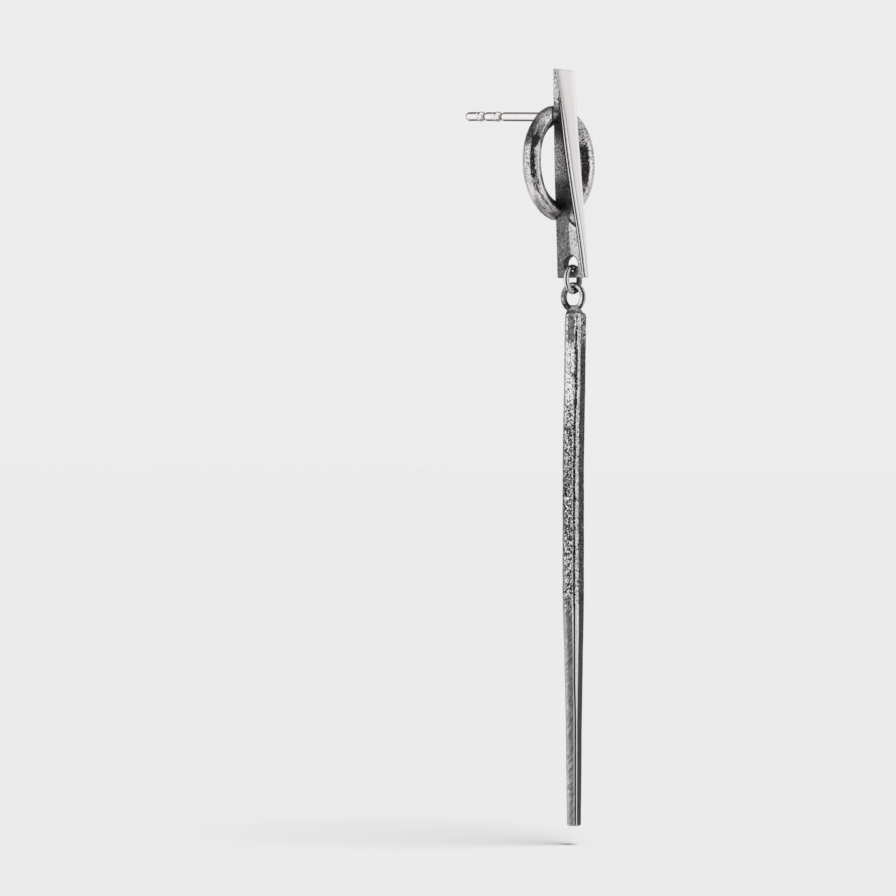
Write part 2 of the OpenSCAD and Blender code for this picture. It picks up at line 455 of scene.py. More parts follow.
# %% Relief of the wedge
dome_slope = math.tan(math.radians(7.5))
facet_slope = math.tan(math.radians(8))
line_deep, edge_deep, notch_deep, satin_deep = 0.07, 0.04, 0.11, 0.02
# the facet's border: height below the post, and how far forward of the wedge's back
FACET_FROM = [(8.6, 1.95), (9.6, 1.75), (10.6, 1.6), (11.2, 1.45), (12.4, 1.55), (13.9, 1.65)]

x, y, z = np.moveaxis(grid, -1, 0)
half, depth, bevel, back = wedge_sizes(z)
side = 1 - rim
is_front = smooth(0.9, 0.99, -out[..., 1]) * side
is_side = smooth(0.9, 0.99, np.abs(out[..., 0])) * side
is_bevel = smooth(0.97, 0.995, (np.abs(out[..., 0]) - out[..., 1]) / math.sqrt(2)) * side

flat_half = half - bevel
dome = dome_slope * flat_half / 4 * (1 - np.clip(x / flat_half, -1, 1) ** 4) * is_front
across = (np.abs(x) - half + y - (back - depth)) / math.sqrt(2)
line = bump(across - 0.16 * bevel, 0.055) * is_bevel * smooth(0.1, 0.2, bevel)
forward = back - y
edge_line = bump(depth - bevel - forward - 0.06, 0.075) * is_side
edge_line = edge_line * smooth(0.25, 0.5, cloud(grid * (0, 0, 1), 0.8, seed=14) + smooth(-1, -4, z))
facet = smooth(-8.5, -9.4, z) * smooth(-0.06, 0.06, forward - follow(-z, FACET_FROM)) * is_side
facet_cut = facet * facet_slope * np.clip(forward - 1.62, 0, 9)
# the notch is a scoop along a curve, with a bright lip above it
scoop = z + 10.43 + 1.15 * (forward - 1.56) - 0.35 * (forward - 1.56) ** 2
notch_ends = smooth(1.4, 1.75, forward) * smooth(2.35, 2.2, forward) * is_side
notch = bump(scoop, 0.16) * notch_ends
notch_lip = bump(scoop + 0.26, 0.1) * notch_ends
satin_relief = (clouds(grid, 0.25, seed=2) - 0.5) * satin_deep * is_side
push = dome - line_deep * line - edge_deep * edge_line - facet_cut - notch_deep * notch + satin_relief
wedge_grid = grid + out * push[..., None]
print("the front's dome is", round(float(dome.max()), 3), "mm high")

# %% [markdown]
# Where the polishing cloth went: over the whole front, along both edges of the bevel and over the
# rims. It only brushed the rest of the side. The side's corners inside the ring's opening are
# darkened as painted shade, and a patch below the hole as the jump ring's painted shadow.
# Brightness is a sum: a plain value for the face, clouds for its unevenness, and a share more or
# less for each mark.

# %% Brightness of the wedge
# painted shade: the side is darkened in the corners inside the ring's opening
corner_shade = smooth(-2.9, -1.7, z) * smooth(1.1, 0.3, z) + smooth(-5.8, -7.2, z) * smooth(-10.4, -9.3, z)
# painted shadow of the jump ring on the wedge's side, below the hole
link_shadow = bump(z + 15.6, 0.6) * bump(forward - 1.95, 0.5) * smooth(-14.6, -14.9, z)
above_ring, below_ring = smooth(0.9, 2.2, z), smooth(-8, -9, z)
side_bright = 0.48 + 0.16 * (clouds(grid, 0.9, seed=5) - 0.5) + 0.2 * (clouds(grid, 0.12, seed=6) - 0.5)
side_bright = side_bright - 0.24 * corner_shade * (1 - 0.2 * smooth(1.2, 2.6, forward)) - 0.15 * below_ring
side_bright = side_bright + 0.35 * facet * (1 - 0.6 * corner_shade) + 0.2 * above_ring
side_bright = side_bright - 0.9 * notch + 0.35 * notch_lip - 0.6 * link_shadow - 1.1 * edge_line
bevel_bright = 0.98 - 1.1 * line
bright = np.where(is_side > 0.5, side_bright, 0.55 + 0.35 * smooth(4, 5, z))
bright = np.where(-out[..., 1] > 0.3, bevel_bright, bright)
face_edge = bump(x + flat_half - 0.03, 0.07) * smooth(3, 1, z)
bright = np.where(is_front > 0.5, 1.0 - 0.35 * face_edge, bright)
polish = np.where(-out[..., 1] > 0.8, 1.0, np.where(-out[..., 1] > 0.3, 0.5, 0.0))
coarse = 0.34 + 0.3 * above_ring * is_side - 0.1 * corner_shade - 0.1 * below_ring
wedge = skin("wedge", wedge_grid, bright=bright, polish=polish, coarse=coarse * (1 - polish))

# %% [markdown]
# A hole is drilled through the wedge's foot for the jump ring, and its rims are broken by the drill.
# A boolean with a spool-shaped cutter gives both at once. The spool is a curve turned about the
# hole's axis: the drill's radius along its middle, flaring where it leaves the metal.

# %% Turned shapes, and the drilled hole
def turned(along, radius, columns):
    """A curve turned about an axis: each row is a circle of its radius at its place along the axis.
    Returns a grid whose third coordinate is the place along the axis."""
    angle = np.linspace(0, 2 * np.pi, columns, endpoint=False)
    ring = np.stack([np.cos(angle), np.sin(angle)], axis=-1)
    flat = radius[:, None, None] * ring
    return np.dstack([flat, np.broadcast_to(along[:, None], flat.shape[:2])])


def cut(piece, tool):
    """Cuts one closed mesh out of another and keeps the result as plain mesh data."""
    modifier = piece.modifiers.new("cut", "BOOLEAN")
    modifier.object = tool
    modifier.solver = "EXACT"
    ready = piece.evaluated_get(bpy.context.evaluated_depsgraph_get())
    piece.data = bpy.data.meshes.new_from_object(ready)
    piece.modifiers.clear()
    bpy.data.objects.remove(tool)


hole_d, hole_web = 1.62, 0.57  # the drill, and the metal left below the hole
hole_y = joint_at["side_swing"][1]
hole_z = wedge_foot + hole_web + hole_d / 2
hole_half, hole_flare = float(wedge_sizes(hole_z)[0]), 0.07
reach = np.linspace(-1, 1, 61)
flare = hole_flare * smooth(hole_half - hole_flare, hole_half + hole_flare, np.abs(reach)) * 2
spool = turned(reach, hole_d / 2 + flare, 64)
spool = np.stack([spool[..., 2], hole_y + spool[..., 0], hole_z + spool[..., 1]], axis=-1)
cut(wedge, skin("cutter", spool))
print("wedge with its hole:", len(wedge.data.polygons), "faces")

# %% [markdown]
# The inside of such a hole is black, because no cloth reaches it. The hole's wall came from the
# cutter, with the cutter's plain numbers. So the numbers are read back from the mesh, mixed with
# darker ones by the distance from the hole's axis, and stored again. A material of its own could
# darken the wall too, but this lets the black fade out over the hole's rim.

# %% Black inside the hole
hole_bright, hole_coarse = 0.16, 0.08
count = len(wedge.data.vertices)
spots, values = np.empty(count * 3), np.empty(count, np.float32)
wedge.data.vertices.foreach_get("co", spots)
spots = spots.reshape(-1, 3) / MM
from_axis = np.hypot(spots[:, 1] - hole_y, spots[:, 2] - hole_z)
outside = smooth(hole_d / 2 + hole_flare * 0.6, hole_d / 2 + hole_flare * 1.4, from_axis)
for word, inside in (("bright", hole_bright), ("coarse", hole_coarse)):
    wedge.data.attributes[word].data.foreach_get("value", values)
    values = values * outside + inside * (1 - outside)
    wedge.data.attributes[word].data.foreach_set("value", values.astype(np.float32))
wedge.data.set_sharp_from_angle(angle=math.radians(40))
dress(wedge, satin, "stud")
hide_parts("ear_stud")
print("vertices in the hole's wall:", int((outside < 0.5).sum()))

# %% [markdown]
# Behind the wedge sits a round ring. Its band isn't round wire: from a flat back it rises over a
# short wall to a crest near the inside, with a broad slope out to the rim. It was cast with fine
# pits, and a long patch of the slope kept its black, while the crest carries a painted highlight.
# The band's section is carried round a circle instead of down a bar.

# %% The ring's band
ring_out, ring_band, ring_deep, ring_z = 5.7, 1.75, 2.0, -4.65
ring_in = ring_out - ring_band
crest = ring_in + 0.59 * ring_band
ring_corners = np.array(
    [
        (ring_in + 0.28 * ring_band, 0),
        (ring_in, -0.25 * ring_deep),
        (ring_in, -0.62 * ring_deep),
        (crest, -1.02 * ring_deep),
        (ring_out, -0.6 * ring_deep),
        (ring_out, -0.25 * ring_deep),
        (ring_out - 0.28 * ring_band, 0),
    ]
)
ring_round = np.array([0.2, 0.15, 0.2, 0.3, 0.15, 0.2, 0.2])
ring_steps = (9, 8, 18, 18, 8, 8, 12)


def round_about(flat, angle):
    """Places sections of (radius, depth) pairs round the ring's axis, each row at its angle."""
    return np.stack([flat[..., 0] * np.cos(angle), flat[..., 1], flat[..., 0] * np.sin(angle)], axis=-1)


ring_angle = np.linspace(0, 2 * np.pi, 560, endpoint=False)[:, None]
rows = np.repeat(ring_corners[None], len(ring_angle), axis=0)
flat, flat_out = section(rows, ring_round, ring_steps, bend=7)
grid = round_about(flat, ring_angle)
out = round_about(flat_out, ring_angle)
grid[..., 2] += ring_z
print("the ring's grid is", grid.shape)

# %% [markdown]
# Where a mark lies on the band is told by two measures. The rise is the angle from the ring's left
# side in degrees: 90 at the top, -90 at the foot and 180 on the right side. The share says how far
# across the slope a point lies: 0 on the crest and 1 at the rim. Each face of the band is a number
# that is 1 on that face and 0 off it, worked out from the direction in which the metal looks.

# %% The faces of the ring
radius, rise = flat[..., 0], np.degrees(np.pi - ring_angle)
share = (radius - crest) / (ring_out - crest)
outward, frontward = flat_out[..., 0], -flat_out[..., 1]
outer_slope = smooth(0.2, 0.4, outward) * smooth(0.3, 0.5, frontward)
# the dark inner slope ends where the metal looks this far outward: further at the lower left, where the
# black reaching over the crest is painted shade along the inner edge
edge_from = 0.02 + 0.3 * smooth(-8, -22, rise) * smooth(-85, -70, rise)
inner_slope = smooth(edge_from, edge_from - 0.18, outward) * smooth(0.2, 0.4, frontward)
inner_wall = smooth(0.6, 0.9, -outward)
on_rim = smooth(0.7, 0.9, outward)
right = smooth(0, 0.5, np.cos(ring_angle))
upper_right = smooth(96, 108, rise) * smooth(156, 148, rise)
low = smooth(-22, -42, rise) + smooth(140, 178, rise)  # the foot and on to the right side
fine, coarse = clouds(grid, 0.14, seed=8), clouds(grid, 0.8, seed=9)
# streaks along the ring: the way round it, counted from its foot, is drawn out five times
way_round = ((ring_angle + np.pi / 2) % (2 * np.pi)) * radius
streaks = clouds(np.stack([way_round / 5, radius, flat[..., 1]], axis=-1), 0.11, seed=16)
print("the rise runs from", round(float(rise.min())), "to", round(float(rise.max())), "degrees")

# %% [markdown]
# The marks themselves: the black patch with a ragged edge, a fine crack that wanders down the
# slope, and pits of several sizes where the casting was poor. A picture painted on the ring could
# hold them too, but as numbers on the grid they can be cut into the metal as well as coloured.

# %% The marks of the ring
# the patch: rise, share of the slope at its middle, half its width as a share
PATCH = np.array(
    [
        (-19, 0.79, 0.0), (-15, 0.79, 0.27), (-9, 0.79, 0.3), (-2, 0.79, 0.23), (5, 0.79, 0.24),
        (7, 0.81, 0.18), (9, 0.83, 0.22), (15, 0.85, 0.22), (17, 0.75, 0.34), (25, 0.69, 0.36),
        (29, 0.67, 0.0),
    ]
)
CRACK = [(-68, 5.2), (-56, 5.33), (-43, 5.38), (-30, 5.5)]  # the crack's radius at a rise

patch_at, patch_half = (np.interp(rise, PATCH[:, 0], PATCH[:, n]) for n in (1, 2))
ragged = 0.3 * (clouds(grid, 0.3, seed=3) - 0.45)
patch = smooth(-0.05, 0.07, patch_half - np.abs(share - patch_at) + ragged) * outer_slope
patch = patch * smooth(-20, -17, rise) * smooth(31, 28, rise)
crack_radius = follow(rise, CRACK) + 0.14 * (clouds(grid, 0.4, seed=4) - 0.5)
crack = bump(radius - crack_radius, 0.035) * smooth(-22, -29, rise) * smooth(-72, -66, rise) * outer_slope
pores = pits(grid, 0.4, 0.11, seed=2) * smooth(0.45, 0.6, cloud(grid, 1.2, seed=6))
pores = pores * (1 - smooth(30, 45, rise) * smooth(100, 90, rise))
right_strip = right * smooth(-0.72, -0.5, share + 0.2 * (fine - 0.5)) * smooth(0.3, -0.1, outward)
specks = pits(grid, 0.24, 0.13, seed=9)
pores = np.maximum(pores, specks * np.maximum(1.3 * upper_right, 0.7 * right_strip))
rim_specks = pits(grid, 0.28, 0.1, seed=14) * on_rim * smooth(35, 10, np.abs(rise))
pores = np.maximum(pores, 0.8 * rim_specks)
dashes = pits(grid * (1, 1, 0.55), 0.2, 0.09, seed=12) * bump(share - 0.55, 0.3) * outer_slope
pores = np.maximum(pores, dashes * smooth(-16, -18, rise) * smooth(-34, -29, rise))
print("the patch covers", round(100 * float(patch.mean()), 1), "% of the band")

# %% [markdown]
# The relief of the ring is slow waves from the file, a fuller band on the right side and a slightly
# domed rim, less the depth of each mark. Sculpting by hand would give the same, but in a sum each
# mark can still be changed alone.

# %% Relief of the ring
patch_deep, crack_deep, pore_deep, rim_dome = 0.05, 0.06, 0.04, 0.045
waves = 0.05 * (clouds(grid, 1.1, seed=7) - 0.5) + 0.015 * (fine - 0.5) + 0.02 * (streaks - 0.5)
swollen = smooth(0, 1, np.cos(ring_angle)) * frontward
push = waves + 0.1 * swollen - patch_deep * patch - crack_deep * crack - pore_deep * pores
over_rim = np.clip((flat[..., 1] / ring_deep + 0.425) / 0.175, -1, 1)  # -1 to 1 across the rim
push = push + rim_dome * smooth(0.7, 0.95, outward) * (1 - over_rim**2)
ring_grid = grid + out * push[..., None]
print("the ring's relief is", round(float(push.max() - push.min()), 2), "mm deep")

# %% [markdown]
# The cloth went over the rim and the lower slope, and smoke-grey is left towards the top. A painted
# highlight makes the foot and the right side brighter still, with darker streaks in it. A painted
# highlight runs along the crest, with a painted dark reflection line inside it. The slope towards
# the opening is black with a few flecks, apart from a bright strip on the right side and a small
# painted glint low on the right. A noise alone would darken the ring evenly, so the bright and dark
# stretches are placed by the rise.

# %% Brightness of the ring
smoky = smooth(11, 22, rise) * smooth(52, 40, rise) * (1 + 0.4 * smooth(0.8, 0.95, outward))
grey = smooth(40, 52, rise) * smooth(100, 90, rise)
low_lines = smooth(0.5, 0.6, streaks) * smooth(-30, -45, rise) * smooth(-175, -150, rise) * outer_slope
ring_bright = 0.86 + 0.3 * (coarse - 0.5) + 0.4 * (fine - 0.5)
ring_bright = ring_bright - 0.5 * smooth(0.55, 0.75, streaks) * outer_slope
# painted highlight: brighter at the foot and on round to the right side, with darker streaks in it
ring_bright = ring_bright + 0.42 * low - 0.55 * low_lines
ring_bright = ring_bright - 0.22 * outer_slope * smooth(-15, -19, rise) * smooth(-42, -32, rise)
ring_bright = ring_bright - 0.38 * smoky - 0.16 * grey - 0.8 * inner_wall
ring_bright = ring_bright - 0.12 * on_rim * (1 - right) * smooth(-30, -12, rise)
flecks = smooth(0.66, 0.8, fine + 0.1 * smooth(-0.9, -0.5, share))
inner_bright = 0.05 + 0.5 * flecks + 0.6 * upper_right
# a small painted glint on the inner slope, low on the right
inner_bright = inner_bright + 0.3 * right * smooth(-125, -150, rise) * smooth(-160, -150, rise)
inner_bright = np.maximum(inner_bright, 0.95 * right_strip)
ring_bright = ring_bright * (1 - inner_slope) + inner_slope * inner_bright
# painted highlight along the crest, with a painted dark reflection line just inside it
crest_highlight = 0.62 * bump(share - 0.27 + 0.11 * right, 0.11) - 0.45 * bump(share - 0.1, 0.05) * (1 - right)
ring_bright = ring_bright + crest_highlight * (1 - 0.7 * smoky) * smooth(-0.3, 0.3, frontward)
ring_bright = ring_bright - (0.8 - 0.5 * smooth(0.55, 0.75, fine)) * patch - 0.7 * crack - 0.8 * pores
round_ring = skin("round_ring", ring_grid, ring=True, bright=ring_bright, coarse=0.26 - 0.1 * low)
dress(round_ring, satin, "stud")

# %% [markdown]
# The ring enters the wedge at the top and at the bottom, and there silver solder has run round it.
# Each collar is a stretch of the band, a little fatter, that thins out to less than the band's own
# size, so that its ends dive under the surface and leave the dark seam that the photo shows.

# %% Solder collars
collar_rows, past_wedge = 70, 0.2
mid_radius = ring_out - ring_band / 2


def collar(name, middle_angle, half_angle, slant):
    """A fat stretch of the ring's band: its section grows about its middle to 0.985 + 0.05(1 - t^8),
    with t from 0 at the wedge to 1 at the collar's ends. The collar reaches further by slant, in
    radians, towards the inside of the band."""
    t = np.linspace(-1, 1, collar_rows)[:, None]
    grow = 0.985 + 0.05 * (1 - t**8)
    heart = np.array([mid_radius, -ring_deep / 2])
    fat = heart + (flat[:1] - heart) * grow[..., None]
    angle = np.radians(middle_angle) + t * (half_angle + slant * smooth(ring_out, crest, flat[:1, :, 0]))
    points = round_about(fat, angle)
    ways = round_about(np.repeat(flat_out[:1], collar_rows, axis=0), angle)
    points[..., 2] += ring_z
    points = points + ways * 0.06 * (clouds(points, 0.5, seed=12)[..., None] - 0.5)
    shade = 0.42 + 0.7 * (clouds(points, 0.25, seed=13) - 0.5) - 0.8 * smooth(0.84, 0.93, np.abs(t))
    piece = skin(name, points, bright=shade)
    dress(piece, satin, "stud")


for name, angle, height, slant in (("solder_top", 90, 1, 0.26), ("solder_foot", 270, -1, 0.0)):
    half_there = float(wedge_sizes(ring_z + height * mid_radius)[0])
    collar(name, angle, math.asin((half_there + past_wedge) / mid_radius), slant)
print("the collars reach", past_wedge, "mm past the wedge's sides")

# %% [markdown]
# The post is drawn wire with a bullet tip. Near the tip it was pinched twice in a tool, which
# raised a small lip and cut a groove beside it, where the ear nut clicks home. It is a turned
# shape: the wire's radius, plus a bell curve for each lip and minus one for each groove. A fine
# scratch runs round it before each lip, and its root flares out into the solder.

# %% The ear post
post = next(mount for mount in frame["record"]["mounts"] if mount["name"] == "post")
post_way, post_r = np.array(post["axis"]), post["dims"]["r_mm"]
post_tip, tip_len, post_root = 10.2, 0.55, -0.6
lip_at, groove_at, scratch_at = (1.89, 3.86), (2.32, 4.36), (1.52, 3.42)  # measured from the tip
lip_high, groove_deep, scratch_deep, root_flare = 0.06, 0.16, 0.035, 0.22
lip_wide, groove_wide, scratch_wide = 0.13, 0.14, 0.035
a = np.linspace(0, np.pi / 2, 14)
straight_y = np.linspace(post_root, post_tip - tip_len, 340)[:-1]
post_y = np.concatenate([straight_y, post_tip - tip_len * (1 - np.sin(a))])
from_tip = post_tip - post_y
post_shape = post_r * (1 - np.clip(1 - from_tip / tip_len, 0, 1) ** 2.3) ** 0.5
for lip, groove, scratch in zip(lip_at, groove_at, scratch_at):
    post_shape = post_shape + lip_high * bump(from_tip - lip, lip_wide)
    post_shape = post_shape - groove_deep * bump(from_tip - groove, groove_wide)
    post_shape = post_shape - scratch_deep * bump(from_tip - scratch, scratch_wide)
post_shape = post_shape + root_flare * smooth(0.2, -0.45, post_y)
post_shape = np.maximum(post_shape, 0.004)
spun = turned(post_y, post_shape, 56)
sideways = np.array([1.0, 0, 0])
upward = np.cross(sideways, post_way)
grid = sum(spun[..., n, None] * way for n, way in enumerate((sideways, upward, post_way)))
grooves = sum(bump(from_tip - groove, 0.12) for groove in groove_at)
specks = pits(grid, 0.7, 0.07, seed=5) * (clouds(grid, 1.0, seed=15) > 0.5)
post_bright = (1 - 0.6 * grooves - 0.8 * smooth(0.25, -0.1, post_y))[:, None] - 0.9 * specks
post_polish = (0.95 * smooth(0.1, 0.4, post_y))[:, None] * (1 - specks)
ear_post = skin("ear_post", grid, bright=post_bright, polish=post_polish, coarse=0.05)
dress(ear_post, satin, "stud")
print("the post is", 2 * post_r, "mm thick")

# %% [markdown]
# Two links of the same round wire join the drop to the stud. The jump ring goes through the hole
# and carries the eye, which stands at right angles to it. Both are rings of wire: a small circle
# carried round a large one. A thin dark line along each wire is a painted reflection, pressed in a
# little. Bending left the wire a little uneven, and a fine cut shows where the jump ring was closed.

# %% A ring of wire
wire_r = (link_high[1] - link_low[1]) / 2
link_r = (link_high[0] - link_low[0]) / 2 - wire_r
link_gap, cut_deep, reflection_line_deep = 0.05, 0.05, 0.03


def wire_ring(centre, flat_way, seed, oval=1.0, fat=0.0):
    """A ring of wire about a centre: flat_way is 0 where its axis is X and 1 where it is Y. oval
    scales its width, and fat thickens the wire at the ring's sides and foot. Returns the grid, the
    outward directions, the angle of each row and of each column."""
    big = np.linspace(0, 2 * np.pi, 260, endpoint=False)[:, None]
    small = np.linspace(0, 2 * np.pi, 56, endpoint=False)[None]
    radial, axial = np.cos(small) + 0 * big, np.sin(small) + 0 * big
    side_way = radial * np.cos(big)
    up_way = radial * np.sin(big)
    ways = [side_way, axial, up_way] if flat_way else [axial, side_way, up_way]
    out = np.stack(ways, axis=-1)
    wide = np.cos(big) * oval
    round_line = [wide, 0 * big, np.sin(big)] if flat_way else [0 * big, wide, np.sin(big)]
    middle = np.stack(round_line, axis=-1) * link_r
    thick = wire_r + fat * smooth(0.4, -0.2, np.sin(big))
    grid = np.array(centre) + middle + out * thick[..., None]
    grid = grid + out * 0.03 * (clouds(grid, 0.8, seed)[..., None] - 0.5)
    return grid, out, big, small


def wire_line(small, degrees, width):
    """A line along a wire, at an angle round its section and of a width, both in degrees."""
    away = (np.degrees(small) - degrees + 180) % 360 - 180
    return bump(away, width)


print("the wire is", round(2 * float(wire_r), 2), "mm thick")

# %% [markdown]
# The jump ring hangs in its hole a little to the back and to one side. Its left half is painted
# brighter, as lit, and is shinier. It is black in painted shade at the top, inside the hole, and at the
# foot, inside the eye.

# %% The jump ring
link_shift = np.array([-0.05, 0.02, 0])
cut_at = 236  # degrees round the ring, from its right side by way of its top
jump_centre = np.array([0, joint_at["side_swing"][1], joint_at["side_swing"][2]]) + link_shift
grid, out, big, small = wire_ring(jump_centre, 1, seed=21)
cut_line = bump(np.degrees(big) - cut_at - 5 * np.sin(small), 2.0)
left_half = smooth(0.2, -0.3, np.cos(big))
# painted reflection: a dark line along the wire, pressed in a little
dark_reflection_line = wire_line(small, -25, 14) * left_half * smooth(-0.75, -0.5, np.sin(big))
# painted light: the left half is painted brighter, as lit
link_bright = 0.5 + 0.6 * left_half - 0.5 * cut_line - 1.5 * dark_reflection_line
# darker on the inside of the ring, and black in painted shade at the foot, where the eye crosses it
link_bright = link_bright - 0.3 * smooth(0.4, 1, -np.cos(small)) - 1.5 * bump(np.degrees(big) - 276, 20)
# painted shade: black at the top, inside the hole
link_bright = link_bright + 0.5 * (clouds(grid, 0.3, seed=22) - 0.5) - 1.2 * bump(np.degrees(big) - 75, 32)
push = -cut_deep * cut_line - reflection_line_deep * dark_reflection_line
grid = grid + out * push[..., None]
jump_ring = skin("jump_ring", grid, ring=True, bright=link_bright, polish=0.6 * left_half, coarse=0.1)
dress(jump_ring, satin, "ring")
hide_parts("jump_ring")

# %% [markdown]
# The eye is the same wire, bent a little narrower than round and soldered to the bar. It goes with
# the drop, so it rides on another body than the jump ring. The same function makes it, with the
# other axis. Its front half is painted brighter, as lit, and painted shade darkens its top, under the jump
# ring.

# %% The eye of the drop
crossing_z = joint_at["front_swing"][2]
eye_z = crossing_z + 2 * wire_r + link_gap - link_r
grid, out, big, small = wire_ring((0, hole_y, eye_z), 0, seed=25, oval=0.94, fat=0.015)
front_half = smooth(0.3, -0.4, np.cos(big))
# painted reflection: a dark line along the wire, pressed in a little
dark_reflection_line = wire_line(small, -44, 15) * front_half
# painted light: the front half is painted brighter, as lit
eye_bright = 0.5 + 0.4 * front_half + 0.6 * (clouds(grid, 0.25, seed=26) - 0.5) - 1.7 * dark_reflection_line
eye_bright = eye_bright - 0.3 * smooth(0.2, 1, -np.cos(small)) - 0.35 * smooth(-0.3, -0.9, np.sin(big))
# painted shade under the jump ring, at the top inside the eye
eye_bright = eye_bright - 0.9 * bump(np.degrees(big) - 90, 24) * smooth(0.0, 0.8, -np.cos(small))
grid = grid - out * (reflection_line_deep * dark_reflection_line)[..., None]
eye = skin("eye", grid, ring=True, bright=eye_bright, polish=0.5 * front_half)
dress(eye, satin, "drop")

# %% [markdown]
# The bar is the long drop. It is a square rod with bevelled corners that tapers over its lower
# half. Its upper part has the look of bark: the casting was left rough, blackened and rubbed, so
# that a net of bright ridges stands over black hollows. Below, the file has smoothed it. A deep
# black seam runs down each front corner. All this is relief on one dense grid, because a bump in
# the material alone would leave the outline straight and the hollows without shadow.

# %% Sizes of the bar
bar_top = eye_z - link_r - wire_r - 0.08
bar_foot = drop_low[2]
bar_len = bar_top - bar_foot
# columns: share of the length from the top, half width, corner bevel, lean to the front
BAR_SHAPE = np.array(
    [
        (0.0, 0.965, 0.50, 0.28),
        (0.3, 0.99, 0.56, 0.0),
        (0.56, 0.99, 0.56, 0.0),
        (0.67, 0.83, 0.40, 0.04),
        (0.8, 0.69, 0.28, 0.06),
        (1.0, 0.60, 0.25, 0.08),
    ]
)


def bar_sizes(z):
    """Half width, bevel and the middle's place of the bar at a height."""
    share = (bar_top - z) / bar_len
    half, bevel, lean = (np.interp(share, BAR_SHAPE[:, 0], BAR_SHAPE[:, n]) for n in (1, 2, 3))
    return half, bevel, hole_y - lean


def bar_corners(z):
    """The bar's section at each height: a square with its four corners bevelled."""
    half, bevel, middle = bar_sizes(z)
    short = half - bevel
    x = [half, half, short, -short, -half, -half, -short, short]
    y = [-short, short, half, half, short, -short, -half, -half]
    return np.stack([np.stack(x, axis=-1), np.stack(y, axis=-1) + middle[:, None]], axis=-1)


# heights where the bar's look changes, from the smooth top panel to the filed foot
panel_end, bright_end, net_end, bark_end = bar_top - 3.0, bar_top - 9.3, bar_top - 16.6, bar_top - 29.3
bar_heights = np.arange(bar_top, bark_end - 1.5, -0.06)
bar_heights = np.concatenate([bar_heights, np.linspace(bark_end - 1.6, bar_foot, 80)])
bar_steps = (12, 8, 12, 8, 18, 32, 13, 18)  # points on each side: more where the camera looks
bar_round, bar_rims = 0.08, (0.4, 0.18)  # radius of its long edges, and of its top and foot rims
grid, out, rim = carry(bar_corners, bar_heights, bar_round, bar_steps, *bar_rims, bend=3)
print("the bar's grid is", grid.shape)

# %% [markdown]
# The bar is divided as the ring was: its faces are numbers read from the direction in which the
# metal looks, and its zones are numbers read from the height. The panel is the smooth place at the
# top of the flanks. Bright bark follows, then a dark net, then coarse bark, and the filed foot.
# The borders of the panel and of the bark are frayed by a cloud.

# %% The faces and zones of the bar
x, y, z = np.moveaxis(grid, -1, 0)
half, bevel, middle = bar_sizes(z)
side = 1 - rim
below = bar_top - z
frontward = -out[..., 1]
corner = smooth(0.45, 0.7, np.minimum(np.abs(out[..., 0]), np.abs(out[..., 1])))
front_face = smooth(0.8, 0.95, frontward)
flank = smooth(0.8, 0.95, np.abs(out[..., 0]))
is_front_corner = corner * smooth(0, 0.3, frontward) * side
bark = smooth(-1.5, 1.5, z - bark_end + 2.5 * (cloud(grid, 1.2, seed=30) - 0.5))
coarse_zone = smooth(net_end + 1.5, net_end - 1.5, z)
panel = flank * smooth(panel_end - 0.4, panel_end + 0.2, z + 0.5 * (cloud(grid, 0.5, seed=29) - 0.5))
print("bark on", round(100 * float(bark.mean())), "% of the bar's points")

# %% [markdown]
# The seam is a deep black groove down the middle of each front corner, perhaps where two halves of
# the casting met. It wanders a little, is wider where the bark is bright, and begins as two
# separate pits. Low down, a second and finer line runs beside it. A groove drawn in the material
# would look flat, so it is one bell curve across the corner, pressed into the grid.

# %% The seam
# where the seam runs: below the bar's top, and across from the corner's middle line
SEAM_AT = [(3, 0.09), (4.7, 0), (8, 0), (11, 0.13), (15, 0.1), (37, 0.09), (40, 0)]
SEAM_PITS = [(0.5, 0.2, 0.02), (1.55, 0.17, 0.0)]  # below, half length, across
fade_foot, fade_top = bright_end - 2.4, bright_end + 1  # where the bright bark turns dark

across = (np.abs(x) - np.abs(y - middle)) / math.sqrt(2)  # 0 on a corner's middle line
down_line = grid * (0, 0, 1)
wander = 0.12 * (clouds(down_line, 0.7, seed=38) - 0.5) * bark - follow(below, SEAM_AT)
wide = smooth(fade_foot, fade_top, z) * smooth(panel_end + 0.5, panel_end - 0.5, z)
swell = smooth(0.2, 0.6, clouds(down_line, 0.4, seed=39))
seam_width = 0.05 + 0.022 * (1 - bark) + bark * (0.09 * wide + 0.07) * swell
seam = bump((across + wander) / seam_width, 1) * is_front_corner
seam_pits = sum(bump(below - start, long) * bump(across - aside, 0.13) for start, long, aside in SEAM_PITS)
seam = np.maximum(seam * (0.25 + 0.75 * smooth(1.4, 1.9, below)), 1.2 * seam_pits * is_front_corner)
second = bump(across + 0.12, 0.035) * is_front_corner * smooth(31, 32.5, below) * smooth(41, 38, below)
narrow, widest = 2 * float(seam_width.min()), 2 * float(seam_width.max())
print("the seam is", round(narrow, 2), "to", round(widest, 2), "mm wide")

# %% [markdown]
# Bark is clouds of two grains, with round holes eaten into it and larger blots in its coarse part.
# The front face and the panel were rubbed down, so there the relief is faint. A Displace modifier
# could push the vertices too, but the same numbers are needed again for the brightness.

